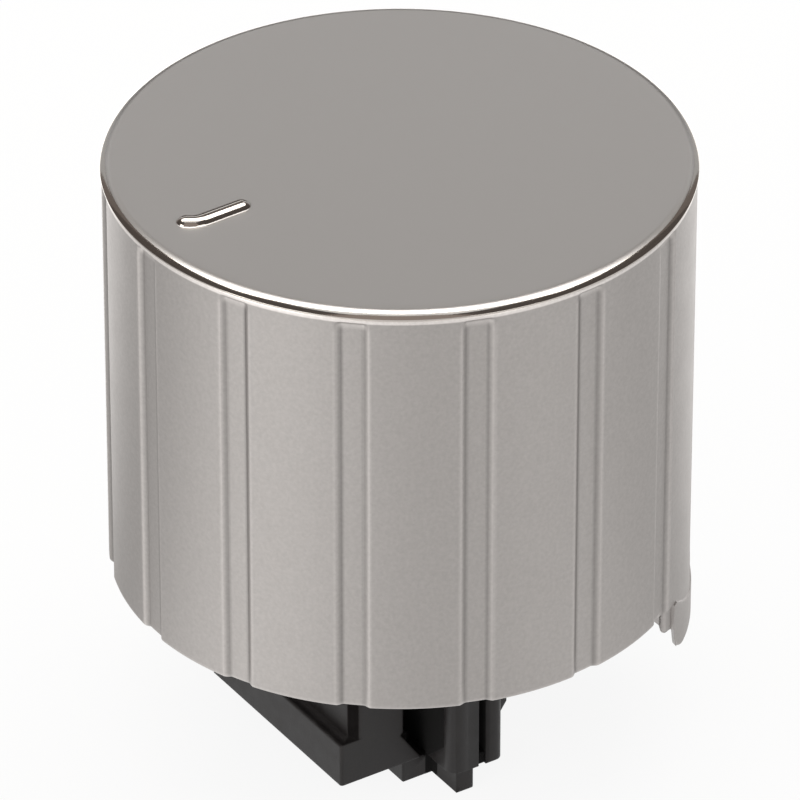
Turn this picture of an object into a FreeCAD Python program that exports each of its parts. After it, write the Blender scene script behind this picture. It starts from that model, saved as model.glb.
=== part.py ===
"""Oven control knob: fluted skirt, metal face cap with a raised pointer, moulded core and shaft spring.

Millimetres. +Z runs up the knob's axis, the pointer lies on the -Y side, and the origin is on the
axis in the plane of the core's feet, on which the knob stands.
"""
import FreeCAD, Part
import math
import os

from FreeCAD import Vector

# Skirt
SKIRT_RADIUS = 20.0
SKIRT_WALL = 2.0
SKIRT_HEIGHT = 30.85
RIM_HEIGHT = 13.2
RIM_CHAMFER = 0.25
WEB_THICKNESS = 2.0

# Flutes in the outside of the skirt
FLUTE_COUNT = 15
FLUTE_MOUTH = 2.24
FLUTE_FLOOR = 1.5
FLUTE_DEPTH = 0.27
FLUTE_TOP_GAP = 0.3

# Socket inside the skirt, with ribs out to its wall
SOCKET_RADIUS = 9.5
SOCKET_WALL = 2.0
SOCKET_DEPTH = 12.0
SKIRT_RIB_COUNT = 6
SKIRT_RIB_WIDTH = 1.2
SKIRT_RIB_DEPTH = 5.0

# Stop lug below the skirt's rim: a lobe with a flat inner face, a raised border and a thicker root,
# its angle from +X
LUG_ANGLE = 58.2
LUG_DROP = 5.55
LUG_RADIUS = 15.2
LUG_FACE = SKIRT_RADIUS - 1.4
LUG_BORDER = 3.1
LUG_BORDER_RISE = 0.12
LUG_ROOT_FACE = SKIRT_RADIUS - 2.4
LUG_ROOT_DROP = 2.1
LUG_ROOT_CORNER = 2.0
LUG_ROOT_INSET = 0.1
LUG_ROOT_RISE = 3.0

# Face cap
CAP_OVERHANG = 0.1
CAP_CROWN_RADIUS = 1.08
CAP_CROWN_TURN = 50.0
CAP_LIP = 0.5
CAP_PLUG_DEPTH = 1.0
CAP_LEDGE = 1.6
CAP_CLEARANCE = 0.05
PEG_COUNT = 3
PEG_RADIUS = 1.2
PEG_CIRCLE = 14.6
PEG_LENGTH = 1.8

# Pointer on the face cap
POINTER_PATH = ((-0.15, -12.4), (-0.15, -15.9), (-0.65, -16.5))
POINTER_WIDTH = 1.25
POINTER_HEIGHT = 0.4

# Core: walls, tube and bore
FOOT_DROP = 1.7
BLOCK_HALF_WIDTH = 8.3
BLOCK_FACE = 9.15
BLOCK_BACK = 3.14
BLOCK_CORNER = 0.8
CORE_WALL = 1.5
FLANGE_STEP = 1.0
FLANGE_HEIGHT = 3.35
TUBE_RADIUS = 5.6
PLATE_RADIUS = 11.4
PLATE_THICKNESS = 2.0
BORE_RADIUS = 3.03
LEAD_RADIUS = 3.3
BORE_LEAD = 5.0
BORE_DEPTH = 20.0
BORE_CHAMFER = 0.4
FLAT_OFFSET = 1.55

# Core: arms at both sides, each a boss and a rib with a slit between
ARM_REACH = 11.4
BOSS_WIDTH = 2.21
SLIT_WIDTH = 0.58
RIB_WIDTH = 1.5
ARM_CORNER = 0.65
BOSS_CORNER = 0.9
GUSSET_RISE = 3.0
GUSSET_HEIGHT = 1.0
GUSSET_WIDTH = 0.7

# Core: back leg and feet
LEG_REACH = 10.0
LEG_HALF_WIDTH = 2.4
LEG_FOOT_LENGTH = 2.0
BLOCK_FOOT_LENGTH = 1.92
BLOCK_FOOT_DEPTH = 2.6
WINDOW_START = 5.1
WINDOW_CORNER = 5.3
WINDOW_CORNER_RISE = 2.4
WINDOW_END = 3.63
WINDOW_INNER = 5.0
BOSS_FOOT_GAP = 0.44
BOSS_FOOT_LENGTH = 1.42
BOSS_FOOT_DEPTH = 3.4
FOOT_SET_BACK = 0.1

# Core: spigot with snap barbs, in the skirt's socket
SPIGOT_WALL = 1.5
SPIGOT_LENGTH = 8.0
SPIGOT_CLEARANCE = 0.1
SNAP_COUNT = 4
SNAP_WIDTH = 3.6
SNAP_HEIGHT = 1.8
SNAP_DEPTH = 0.9
SNAP_RISE = 4.2
SNAP_SLIT = 0.7
WINDOW_CLEARANCE = 0.15

# Flat spring in the bore's flat
SPRING_WIDTH = 3.0
SPRING_LENGTH = 11.0
SPRING_THICKNESS = 0.4
SPRING_BOW = 0.25
SPRING_CLEARANCE = 0.05
SPRING_LIFT = 1.0

SEAT_Z = RIM_HEIGHT + SKIRT_HEIGHT
TOP_Z = SEAT_Z + CAP_LIP
WEB_TOP_Z = SEAT_Z - CAP_PLUG_DEPTH
WEB_Z = WEB_TOP_Z - WEB_THICKNESS
SKIRT_BORE = SKIRT_RADIUS - SKIRT_WALL
SOCKET_Z = WEB_Z - SOCKET_DEPTH
SPIGOT_RADIUS = SOCKET_RADIUS - SPIGOT_CLEARANCE
PLATE_Z = SOCKET_Z - PLATE_THICKNESS
SNAP_Z = SOCKET_Z + SNAP_RISE
CORE_Z = FOOT_DROP
BOSS_START = -BLOCK_BACK
BOSS_END = BOSS_START + BOSS_WIDTH
ARM_RIB_START = BOSS_END + SLIT_WIDTH
ARM_RIB_END = ARM_RIB_START + RIB_WIDTH
BORE_TOP_Z = CORE_Z + BORE_DEPTH
FLAT_Z = CORE_Z + BORE_LEAD
AXIS = Vector(0, 0, 1)
ORIGIN = Vector(0, 0, 0)


def box(low, high):
    """Box between two opposite corners, given as (x, y, z)."""
    size = [b - a for a, b in zip(low, high)]
    return Part.makeBox(size[0], size[1], size[2], Vector(*low))


def ring(outer, inner, z_low, z_high):
    """Round tube about the axis."""
    height = z_high - z_low
    tube = Part.makeCylinder(outer, height, Vector(0, 0, z_low))
    return tube.cut(Part.makeCylinder(inner, height, Vector(0, 0, z_low)))


def disc(radius, z_low, z_high, x=0.0, y=0.0):
    return Part.makeCylinder(radius, z_high - z_low, Vector(x, y, z_low))


def turned(shape, degrees):
    """Copy of a shape, turned about the knob's axis."""
    copy = shape.copy()
    copy.rotate(ORIGIN, AXIS, degrees)
    return copy


def mirrored(shape):
    """Copy of a shape on the other side of the plane x = 0."""
    return shape.mirror(ORIGIN, Vector(1, 0, 0))


def outline_face(edges):
    return Part.Face(Part.Wire(Part.__sortEdges__(edges)))


def line(start, end):
    return Part.LineSegment(start, end).toShape()


def polyline(points):
    return [line(a, b) for a, b in zip(points, points[1:])]


def corner_arc(start, corner, end):
    """Quarter circle from start to end, tangent to both lines that meet square at the corner."""
    centre = start + end - corner
    outward = (corner - centre).normalize()
    middle = centre + outward * start.distanceToPoint(centre)
    return Part.Arc(start, middle, end).toShape()


def profile_face(points, rounds):
    """Closed outline through the points; rounds maps a square corner's number to its radius."""
    edges = []
    count = len(points)
    ends = []
    for number, corner in enumerate(points):
        radius = rounds.get(number, 0.0)
        before = points[number - 1] - corner
        after = points[(number + 1) % count] - corner
        start = corner + before.normalize() * radius
        end = corner + after.normalize() * radius
        ends.append((start, end))
        if radius:
            edges.append(corner_arc(start, corner, end))
    for number in range(count):
        start = ends[number][1]
        end = ends[(number + 1) % count][0]
        if start.distanceToPoint(end) > 1e-6:
            edges.append(line(start, end))
    return outline_face(edges)


def rounded_plate(x_low, x_high, y_low, y_high, z_low, z_high, corners):
    """Upright block; corners gives the radius at each corner, counter-clockwise from low x, low y."""
    places = [(x_low, y_low), (x_high, y_low), (x_high, y_high), (x_low, y_high)]
    points = [Vector(x, y, z_low) for x, y in places]
    rounds = {number: radius for number, radius in enumerate(corners) if radius}
    return profile_face(points, rounds).extrude(Vector(0, 0, z_high - z_low))


def flute_cutter():
    """Shallow groove with sloped walls, on the -Y side, open at the rim."""
    floor = -(SKIRT_RADIUS - FLUTE_DEPTH)
    outside = -(SKIRT_RADIUS + FLUTE_DEPTH)
    mouth, foot = FLUTE_MOUTH / 2, FLUTE_FLOOR / 2
    shoulder = -math.sqrt(SKIRT_RADIUS ** 2 - mouth ** 2)
    low = RIM_HEIGHT - 2 * RIM_CHAMFER
    section = [(-mouth, outside), (mouth, outside), (mouth, shoulder), (foot, floor),
               (-foot, floor), (-mouth, shoulder)]
    points = [Vector(x, y, low) for x, y in section]
    top = SEAT_Z - FLUTE_TOP_GAP
    return profile_face(points, {}).extrude(Vector(0, 0, top - low))


def lug_slab(face, outer, top):
    """Part of a disc about the axis, on the +X side of a flat face and below the top."""
    low = RIM_HEIGHT - LUG_DROP
    half = math.sqrt(outer ** 2 - face ** 2)
    return box((face, -half, low), (outer, half, top)).common(disc(outer, low, top))


def stop_lug():
    """Lobe below the rim with a raised border, and the low root behind it."""
    low, seam = RIM_HEIGHT - LUG_DROP, RIM_HEIGHT + RIM_CHAMFER

    def round_outline(radius):
        """Disc about the lobe's middle line, through the whole skirt."""
        return Part.makeCylinder(radius, 2 * SKIRT_RADIUS, Vector(0, 0, low + LUG_RADIUS), Vector(1, 0, 0))

    lobe = lug_slab(LUG_FACE, SKIRT_RADIUS, seam).common(round_outline(LUG_RADIUS))
    border = lug_slab(LUG_FACE, SKIRT_RADIUS + LUG_BORDER_RISE, seam).common(round_outline(LUG_RADIUS))
    border = border.cut(round_outline(LUG_RADIUS - LUG_BORDER))
    outer = SKIRT_RADIUS - LUG_ROOT_INSET
    half = math.sqrt(outer ** 2 - LUG_ROOT_FACE ** 2)
    bottom, top = RIM_HEIGHT - LUG_ROOT_DROP, RIM_HEIGHT + LUG_ROOT_RISE
    plate = profile_face([Vector(0, -half, bottom), Vector(0, half, bottom), Vector(0, half, top),
                          Vector(0, -half, top)], {0: LUG_ROOT_CORNER, 1: LUG_ROOT_CORNER})
    root = lug_slab(LUG_ROOT_FACE, outer, top).common(plate.extrude(Vector(2 * SKIRT_RADIUS, 0, 0)))
    upper = disc(SKIRT_RADIUS - 2 * FLUTE_DEPTH, seam, top)
    root = root.common(disc(outer, low, seam).fuse(upper))
    return turned(lobe.fuse([border, root]), LUG_ANGLE)


def snap_barb(grow=0.0):
    """Barb on the +X side of the spigot; grow widens it into the window that it snaps into."""
    half = SNAP_WIDTH / 2 + grow
    low = SNAP_Z - grow
    high = SNAP_Z + SNAP_HEIGHT + grow
    root = SPIGOT_RADIUS - SPIGOT_WALL / 2
    tip = SPIGOT_RADIUS + SNAP_DEPTH + grow
    points = [Vector(root, -half, low), Vector(tip, -half, low),
              Vector(tip, -half, low + SNAP_HEIGHT / 3 + grow), Vector(root, -half, high)]
    if grow:
        points[2] = Vector(tip, -half, high)
    return outline_face(polyline(points + points[:1])).extrude(Vector(0, 2 * half, 0))


def make_skirt():
    rim = RIM_HEIGHT
    seat = SKIRT_RADIUS - CAP_LEDGE
    section = [(SKIRT_RADIUS - RIM_CHAMFER, rim), (SKIRT_RADIUS, rim + RIM_CHAMFER), (SKIRT_RADIUS, SEAT_Z),
               (seat, SEAT_Z), (seat, WEB_TOP_Z), (0, WEB_TOP_Z), (0, WEB_Z), (SKIRT_BORE, WEB_Z),
               (SKIRT_BORE, rim)]
    skirt = profile_face([Vector(x, 0, z) for x, z in section], {}).revolve(ORIGIN, AXIS, 360)
    socket = ring(SOCKET_RADIUS + SOCKET_WALL, SOCKET_RADIUS, SOCKET_Z, WEB_Z)
    rib_start = SOCKET_RADIUS + SOCKET_WALL / 2
    rib = box((rib_start, -SKIRT_RIB_WIDTH / 2, WEB_Z - SKIRT_RIB_DEPTH),
              (SKIRT_BORE + SKIRT_WALL / 2, SKIRT_RIB_WIDTH / 2, WEB_Z))
    ribs = [turned(rib, 360 / SKIRT_RIB_COUNT * number) for number in range(SKIRT_RIB_COUNT)]
    skirt = skirt.fuse([socket, stop_lug()] + ribs)
    flute = flute_cutter()
    cuts = [turned(flute, 360 / FLUTE_COUNT * number) for number in range(FLUTE_COUNT)]
    window = snap_barb(WINDOW_CLEARANCE)
    reach = box((SPIGOT_RADIUS, -SNAP_WIDTH / 2 - WINDOW_CLEARANCE, SNAP_Z - WINDOW_CLEARANCE),
                (rib_start + SOCKET_WALL, SNAP_WIDTH / 2 + WINDOW_CLEARANCE,
                 SNAP_Z + SNAP_HEIGHT + WINDOW_CLEARANCE))
    for number in range(SNAP_COUNT):
        turn = snap_angle(number)
        cuts += [turned(window, turn), turned(reach, turn)]
    cuts += [turned(disc(PEG_RADIUS + CAP_CLEARANCE, WEB_Z, WEB_TOP_Z, PEG_CIRCLE), turn)
             for turn in peg_angles()]
    return skirt.cut(cuts)


def snap_angle(number):
    """Angle of a snap barb, between the arms and the block."""
    return 45 + 360 / SNAP_COUNT * number


def peg_angles():
    """Angles of the cap's pegs, midway between the skirt's ribs."""
    return [180 / SKIRT_RIB_COUNT + 360 / PEG_COUNT * number for number in range(PEG_COUNT)]


def pointer():
    """Raised bar with a hooked outer end, domed across and rounded at both ends."""
    half = POINTER_WIDTH / 2
    dome = (half ** 2 + POINTER_HEIGHT ** 2) / (2 * POINTER_HEIGHT)
    places = [Vector(x, y, TOP_Z + POINTER_HEIGHT - dome) for x, y in POINTER_PATH]
    bars = [Part.makeCylinder(dome, (end - start).Length, start, end - start)
            for start, end in zip(places, places[1:])]
    balls = [Part.makeSphere(dome, place) for place in places]
    above = disc(SKIRT_RADIUS, TOP_Z - CAP_LIP / 2, TOP_Z + dome)
    return bars[0].fuse(bars[1:] + balls).common(above)


def crown_profile():
    """Half section of the cap: a flat face, a rounding down to the lip, then the plug below."""
    edge = SKIRT_RADIUS + CAP_OVERHANG
    turn = math.radians(CAP_CROWN_TURN)
    centre = Vector(edge - CAP_CROWN_RADIUS * math.sin(turn), 0, TOP_Z - CAP_CROWN_RADIUS)
    crown = [centre + Vector(math.sin(turn * share), 0, math.cos(turn * share)) * CAP_CROWN_RADIUS
             for share in (0, 0.5, 1)]
    plug = SKIRT_RADIUS - CAP_LEDGE - CAP_CLEARANCE
    below = [crown[2], Vector(edge, 0, SEAT_Z), Vector(plug, 0, SEAT_Z), Vector(plug, 0, WEB_TOP_Z),
             Vector(0, 0, WEB_TOP_Z), Vector(0, 0, TOP_Z), crown[0]]
    return outline_face([Part.Arc(*crown).toShape()] + polyline(below))


def make_face_cap():
    cap = crown_profile().revolve(ORIGIN, AXIS, 360)
    peg = disc(PEG_RADIUS, WEB_TOP_Z - PEG_LENGTH, SEAT_Z, PEG_CIRCLE)
    return cap.fuse([turned(peg, turn) for turn in peg_angles()] + [pointer()])


def block():
    """Three-sided housing on the pointer's side, with a foot flange along its lower edge."""
    half, face, back = BLOCK_HALF_WIDTH, -BLOCK_FACE, -BLOCK_BACK
    corner = BLOCK_CORNER
    outside = rounded_plate(-half, half, face, back, CORE_Z, PLATE_Z, (corner, corner, 0, 0))
    pocket = rounded_plate(-half + CORE_WALL, half - CORE_WALL, face + CORE_WALL, back - CORE_WALL,
                           CORE_Z, PLATE_Z, (0, 0, 0, 0))
    flange = box((-half, face - FLANGE_STEP, CORE_Z),
                 (half, face + CORE_WALL / 2, CORE_Z + FLANGE_HEIGHT))
    return outside.cut(pocket).fuse(flange)


def block_window():
    """Opening between the block's side wall and the boss, with a slanted lower edge."""
    points = [Vector(WINDOW_INNER, -WINDOW_START, PLATE_Z),
              Vector(WINDOW_INNER, -WINDOW_START, CORE_Z + WINDOW_CORNER_RISE + 0.25),
              Vector(WINDOW_INNER, -WINDOW_CORNER, CORE_Z + WINDOW_CORNER_RISE),
              Vector(WINDOW_INNER, -WINDOW_END, CORE_Z),
              Vector(WINDOW_INNER, -BLOCK_BACK, CORE_Z), Vector(WINDOW_INNER, -BLOCK_BACK, PLATE_Z)]
    opening = outline_face(polyline(points + points[:1]))
    return opening.extrude(Vector(BLOCK_HALF_WIDTH + 1 - WINDOW_INNER, 0, 0))


def arm():
    """Boss and rib on the +X side with a slit between them, and a gusset along the rib."""
    root = TUBE_RADIUS * 0.75
    boss = rounded_plate(root, ARM_REACH, BOSS_START, BOSS_END, CORE_Z, PLATE_Z,
                         (0, BOSS_CORNER, 0, 0))
    rib = rounded_plate(root, ARM_REACH, ARM_RIB_START, ARM_RIB_END, CORE_Z, PLATE_Z,
                        (0, 0, ARM_CORNER, 0))
    low = CORE_Z + GUSSET_RISE
    side = ARM_RIB_END
    inner, outer = TUBE_RADIUS, ARM_REACH - ARM_CORNER
    slope = [Vector(inner, side - ARM_CORNER, low), Vector(inner, side, low),
             Vector(inner, side + GUSSET_WIDTH, low + GUSSET_HEIGHT),
             Vector(inner, side + GUSSET_WIDTH, PLATE_Z), Vector(inner, side - ARM_CORNER, PLATE_Z)]
    gusset = outline_face(polyline(slope + slope[:1])).extrude(Vector(outer - inner, 0, 0))
    return [boss, rib, gusset]


def feet():
    """Small feet below the block, the bosses and the back leg."""
    overlap = CORE_WALL
    block_side = BLOCK_HALF_WIDTH - FOOT_SET_BACK
    boss_low = BOSS_START + BOSS_FOOT_GAP
    block_foot = box((block_side - BLOCK_FOOT_DEPTH, -BLOCK_BACK - BLOCK_FOOT_LENGTH, 0),
                     (block_side, boss_low, CORE_Z + overlap))
    boss_side = ARM_REACH - FOOT_SET_BACK
    boss_foot = box((boss_side - BOSS_FOOT_DEPTH, boss_low, 0),
                    (boss_side, boss_low + BOSS_FOOT_LENGTH, CORE_Z + overlap))
    leg_foot = box((-LEG_HALF_WIDTH, LEG_REACH - LEG_FOOT_LENGTH, 0),
                   (LEG_HALF_WIDTH, LEG_REACH, CORE_Z + overlap))
    return [block_foot, boss_foot, mirrored(block_foot), mirrored(boss_foot), leg_foot]


def back_leg():
    """Two ribs and a cross wall that carry the foot on the far side from the pointer."""
    half = LEG_HALF_WIDTH
    root = TUBE_RADIUS * 0.75
    outside = rounded_plate(-half, half, root, LEG_REACH, CORE_Z, PLATE_Z,
                            (0, 0, BLOCK_CORNER, BLOCK_CORNER))
    pocket = box((-half + CORE_WALL, TUBE_RADIUS, CORE_Z + FOOT_DROP),
                 (half - CORE_WALL, LEG_REACH - CORE_WALL, PLATE_Z))
    return outside.cut(pocket)


def bore_cutter():
    """Shaft bore: chamfered mouth, round lead-in, then a D section."""
    round_part = disc(BORE_RADIUS, CORE_Z, BORE_TOP_Z)
    flat = box((-BORE_RADIUS, FLAT_OFFSET, FLAT_Z), (BORE_RADIUS, BORE_RADIUS, BORE_TOP_Z))
    lead = disc(LEAD_RADIUS, CORE_Z, FLAT_Z)
    mouth = Part.makeCone(LEAD_RADIUS + BORE_CHAMFER, LEAD_RADIUS, BORE_CHAMFER, Vector(0, 0, CORE_Z))
    return round_part.cut(flat).fuse([lead, mouth])


def spring_leaf(grow=0.0):
    """Thin leaf bowed towards the shaft; grow widens it into the pocket that holds it."""
    half = SPRING_WIDTH / 2 + grow
    low = FLAT_Z + SPRING_LIFT - grow
    high = low + SPRING_LENGTH + 2 * grow
    middle = (low + high) / 2
    inner = FLAT_OFFSET
    outer = inner + SPRING_THICKNESS + grow
    near = [Vector(-half, inner, low), Vector(-half, inner - SPRING_BOW, middle), Vector(-half, inner, high)]
    far = [Vector(-half, point.y + SPRING_THICKNESS, point.z) for point in near]
    if grow:
        points = [Vector(-half, inner, low), Vector(-half, outer, low), Vector(-half, outer, high),
                  Vector(-half, inner, high)]
        section = polyline(points + points[:1])
    else:
        section = [Part.Arc(*near).toShape(), line(near[2], far[2]), Part.Arc(*far).toShape(),
                   line(far[0], near[0])]
    return outline_face(section).extrude(Vector(2 * half, 0, 0))


def make_core():
    tube = disc(TUBE_RADIUS, CORE_Z, PLATE_Z)
    plate = disc(PLATE_RADIUS, PLATE_Z, SOCKET_Z)
    spigot = ring(SPIGOT_RADIUS, SPIGOT_RADIUS - SPIGOT_WALL, SOCKET_Z, SOCKET_Z + SPIGOT_LENGTH)
    slit_low = SOCKET_Z + SPIGOT_WALL
    slit_half = SNAP_WIDTH / 2 + SNAP_SLIT
    slit_top = SOCKET_Z + SPIGOT_LENGTH
    slits = [box((SPIGOT_RADIUS / 2, side, slit_low), (SPIGOT_RADIUS + 1, side + SNAP_SLIT, slit_top))
             for side in (-slit_half, slit_half - SNAP_SLIT)]
    turns = [snap_angle(number) for number in range(SNAP_COUNT)]
    spigot = spigot.cut([turned(slit, turn) for slit in slits for turn in turns])
    barbs = [turned(snap_barb(), turn) for turn in turns]
    right_arm = arm()
    left_arm = [mirrored(piece) for piece in right_arm]
    solid = tube.fuse([plate, spigot, block(), back_leg()] + barbs + right_arm + left_arm + feet())
    window = block_window()
    cuts = [bore_cutter(), spring_leaf(SPRING_CLEARANCE), window, mirrored(window)]
    return solid.cut(cuts).removeSplitter()


def make_shaft_spring():
    return spring_leaf()


NODES = {
    "skirt": make_skirt,
    "face_cap": make_face_cap,
    "core": make_core,
    "shaft_spring": make_shaft_spring,
}


def main():
    os.makedirs("parts", exist_ok=True)
    for name, make in NODES.items():
        shape = make()
        solids = shape.Solids
        print(name, "valid", shape.isValid(), "solids", len(solids), "volume", round(shape.Volume, 1))
        shape = solids[0] if len(solids) == 1 else shape
        shape.exportStep(os.path.join("parts", name + ".step"))


main()
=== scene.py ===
"""Oven control knob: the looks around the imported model.

Metres; +Z up the knob's axis, pointer towards -Y.
"""

import math

import bmesh
import bpy
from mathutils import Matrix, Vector


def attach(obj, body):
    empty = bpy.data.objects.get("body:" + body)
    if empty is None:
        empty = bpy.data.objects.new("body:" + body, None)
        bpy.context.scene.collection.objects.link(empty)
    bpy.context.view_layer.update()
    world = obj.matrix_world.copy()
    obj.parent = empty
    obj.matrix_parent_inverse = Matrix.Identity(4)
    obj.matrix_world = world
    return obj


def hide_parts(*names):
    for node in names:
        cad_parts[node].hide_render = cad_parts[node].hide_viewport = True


MM = 0.001

# Sizes that follow the part's source: millimetres, and degrees for angles and turns. The flutes' floor and
# mouth are half widths
SKIRT_RADIUS = 20.0
SKIRT_BORE = 18.0
RIM_Z = 13.2
SEAT_Z = 44.05
TOP_Z = 44.55
WEB_TOP_Z = 43.05
WEB_Z = 41.05
SOCKET_Z = 29.05
SOCKET_OUTER = 11.5
SOCKET_INNER = 9.5
WEB_MIDDLE = 9.0
RIB_COUNT = 6
RIB_LOW = (10.5, -0.6, WEB_Z - 5)
RIB_HIGH = (19.0, 0.6, WEB_Z + 0.5)
WINDOW_COUNT = 4
WINDOW_TURN = 45
WINDOW_LOW = (9.0, -1.95, 33.1)
WINDOW_HIGH = (12.5, 1.95, 35.2)

FLUTE_COUNT = 15
FLUTE_DEPTH = 0.27
FLUTE_FLOOR = 0.75
FLUTE_MOUTH = 1.12
FLUTE_TOP_GAP = 0.3

LUG_ANGLE = 58.2
LUG_DROP = 5.55
LUG_RADIUS = 15.2
LUG_FACE = 18.6
LUG_LEDGE_RADIUS = 12.1
LUG_RISE = 0.12
ROOT_FACE = 17.6
ROOT_DROP = 2.1
ROOT_CORNER = 2.0
ROOT_OUTER = 19.9
ROOT_TOP = 16.2

CAP_RADIUS = 20.1
CAP_SEAT = 18.4
CAP_CLEARANCE = 0.05
CROWN_RADIUS = 1.08
CROWN_TURN = 50
PEG_COUNT = 3
PEG_TURN = 30
PEG_CIRCLE = 14.6
PEG_RADIUS = 1.2
PEG_HOLE = 1.25
PEG_HOLE_ENDS = (WEB_Z - 1, WEB_TOP_Z + 0.5)
PEG_TOP = WEB_TOP_Z + 0.5
PEG_FOOT = WEB_TOP_Z - 1.8
POINTER_HALF = 0.625
POINTER_HEIGHT = 0.4

# Fine roundings that only the scene has, in millimetres; the lead is a share of the flute top's run
RIM_ROUND = 0.3
SHOULDER_ROUND = 0.15
HOLLOW_ROUND = 0.15
HOLLOW_ROUND_MIDDLE = 0.04
WEB_CORNER = 0.5
SOCKET_CORNER = 0.4
SOCKET_LEAD = 0.2
FLUTE_SOFT = 0.075
FLUTE_TOP_RUN = 0.34
FLUTE_TOP_LEAD = 0.1
FLUTE_END_DROP = 0.5
FLUTE_END_RUN = 0.3
LUG_ROUND = 0.16
LUG_TIP_ROUND = 2.6
LOBE_ROUND = 0.45
LOBE_INNER_ROUND = 0.25
ROOT_INNER_ROUND = 0.12
LEDGE_HALF = 0.07
LEDGE_LEAST_DROP = 0.08
LOBE_LEAST_EDGE = 0.02
CAP_EDGE_ROUND = 0.03
CAP_FOOT_ROUND = 0.02
PEG_CHAMFER = 0.1
CORE_ROUND = 0.2
FOOT_ROUND = 0.12

# The lobe's lower edge and the pointer's middle line, after the photograph
LOBE_DROP = 5.15
LOBE_CURVE = 40.0
POINTER_START = (-0.28, -12.34)
POINTER_BEND = ((-0.15, -15.35), (-0.12, -16.0), (-0.55, -16.5))

# Fillet at the pointer's foot: distance out from its side and height over the face
POINTER_FILLET = ((0.1, -0.004), (0.055, 0.004), (0.02, 0.02))
POINTER_FOOT_OUT = 0.02
POINTER_FOOT_UP = 0.03

# Distances and heights in millimetres at which the skirt and cap have points
FLUTE_OFFSETS = (0.0, 0.3, 0.55, 0.65, 0.70, 0.74, 0.78, 0.83, 0.89, 0.95, 1.01, 1.06, 1.10, 1.14, 1.19,
                 1.28, 1.5)
LUG_STEP = 0.03
LEAST_STEP = 0.018
ARC_SLACK = 0.005
WALL_HEIGHTS = [43.2, 42, 38, 34, 30, 26, 22, 18, 15, 14]
HOLLOW_HEIGHTS = (20.0, 30.0)
CAP_FACE_RADII = (0.0, 5.0, 10.0, 14.0, 17.0, 18.6)

# Numbers of steps in the meshes; the lug's outside has LUG_POINTS points, whatever its kind
FLUTE_SAMPLES = 9
PANEL_STEPS = 8
LOBE_STEPS = 34
ROOT_STEPS = 16
SHOULDER_STEPS = 3
FLUTE_TOP_STEPS = 12
RIM_STEPS = 7
FOOT_STEPS = 5
SIDE_STEPS = 6
LEDGE_STEPS = 5
OVER_LEDGE_STEPS = 4
LUG_POINTS = FOOT_STEPS + SIDE_STEPS + LEDGE_STEPS + OVER_LEDGE_STEPS
CAP_SIDES = 360
PEG_SIDES = 40
CROWN_STEPS = 16
CAP_EDGE_STEPS = 6
DOME_STEPS = 14
STRAIGHT_STEPS = 9
BEND_STEPS = 10
POINTER_END_STEPS = 16
CARD_STEPS = 24
FLOOR_SIDES = 96

# Mending the meshes: distances in millimetres and angles in degrees
WELD = 0.0008
SLIVER = 0.0004
FLAT_ANGLE = 0.5
SHARP_ANGLE = 32
CAP_SHARP_ANGLE = 38
CORE_SHARP_ANGLE = 40
POINTER_SHARP_ANGLE = 40

# Rounded edges of the core: heights between which an edge's upper end lies, and the rounding's size. Such an
# edge is sharper than EDGE_ANGLE in degrees, longer than EDGE_LENGTH, has no neighbour shorter than
# EDGE_NEIGHBOUR, starts below EDGE_LOWEST_END and reaches further out than TUBE_REACH
CORE_BEVELS = (((1.75, 60.0), CORE_ROUND), ((-1.0, 1.75), FOOT_ROUND))
EDGE_ANGLE = 60
EDGE_LENGTH = 1.1
EDGE_NEIGHBOUR = 0.5
EDGE_LOWEST_END = 20
TUBE_REACH = 7.0

# Small webs that close gaps in the core's corners so that they show dark as shade, as two corners of a block
# with x to one side, and the core's recesses, darkened with painted shade: |x|, y, z less |x| times the
# slope
CORE_SHADE_WEBS = (((4.4, -5.1, 1.71), (6.0, -3.1, 2.3)), ((7.0, -3.2, 0.02), (8.15, -2.6, 1.75)),
             ((10.2, -0.95, 1.72), (11.2, -0.33, 2.6)))
PAINTED_SHADE_RECESSES = (((4.9, 10.4), (-3.3, -3.0), (-5.8, 40), 0.903),
            ((6.9, 8.9), (-3.2, -2.6), (-0.2, 1.72), 0.0),
            ((5.6, 11.3), (-0.96, -0.32), (-0.2, 40), 0.0))
# Level of the painted shade in the recesses, and the softness of its edges
PAINTED_SHADE_LEVEL = 0.1
PAINTED_SHADE_SOFT = 0.06
PAINTED_SHADE_SOFT_Z = 0.25

# Looks: a grain, cloud or streak counts features per metre; a relief is features per metre and metres deep
COAT_DARK = (0.435, 0.417, 0.407)
COAT_LIGHT = (0.487, 0.468, 0.456)
COAT_GRAIN = 3600
COAT_CLOUD = 420
COAT_ROUGHNESS = (0.44, 0.48)
COAT_RELIEF = (9000, 0.0000025)
FACE_COLOUR = (0.525, 0.508, 0.493)
FACE_CLOUD = 700
FACE_ROUGHNESS = (0.305, 0.315)
FACE_RELIEF = (8000, 0.0000015)
EDGE_COLOUR = (0.62, 0.585, 0.545)
EDGE_ROUGHNESS = 0.11
BLACK_DARK = (0.011, 0.0095, 0.0095)
BLACK_LIGHT = (0.018, 0.016, 0.016)
BLACK_CLOUD = 900
BLACK_ROUGHNESS = (0.42, 0.52)
BLACK_SPECULAR = 0.34
BLACK_RELIEF = (6500, 0.000006)
STEEL_DARK = (0.52, 0.51, 0.5)
STEEL_LIGHT = (0.64, 0.63, 0.61)
STEEL_STREAK = 3000
STEEL_ROUGHNESS = (0.25, 0.4)
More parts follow.
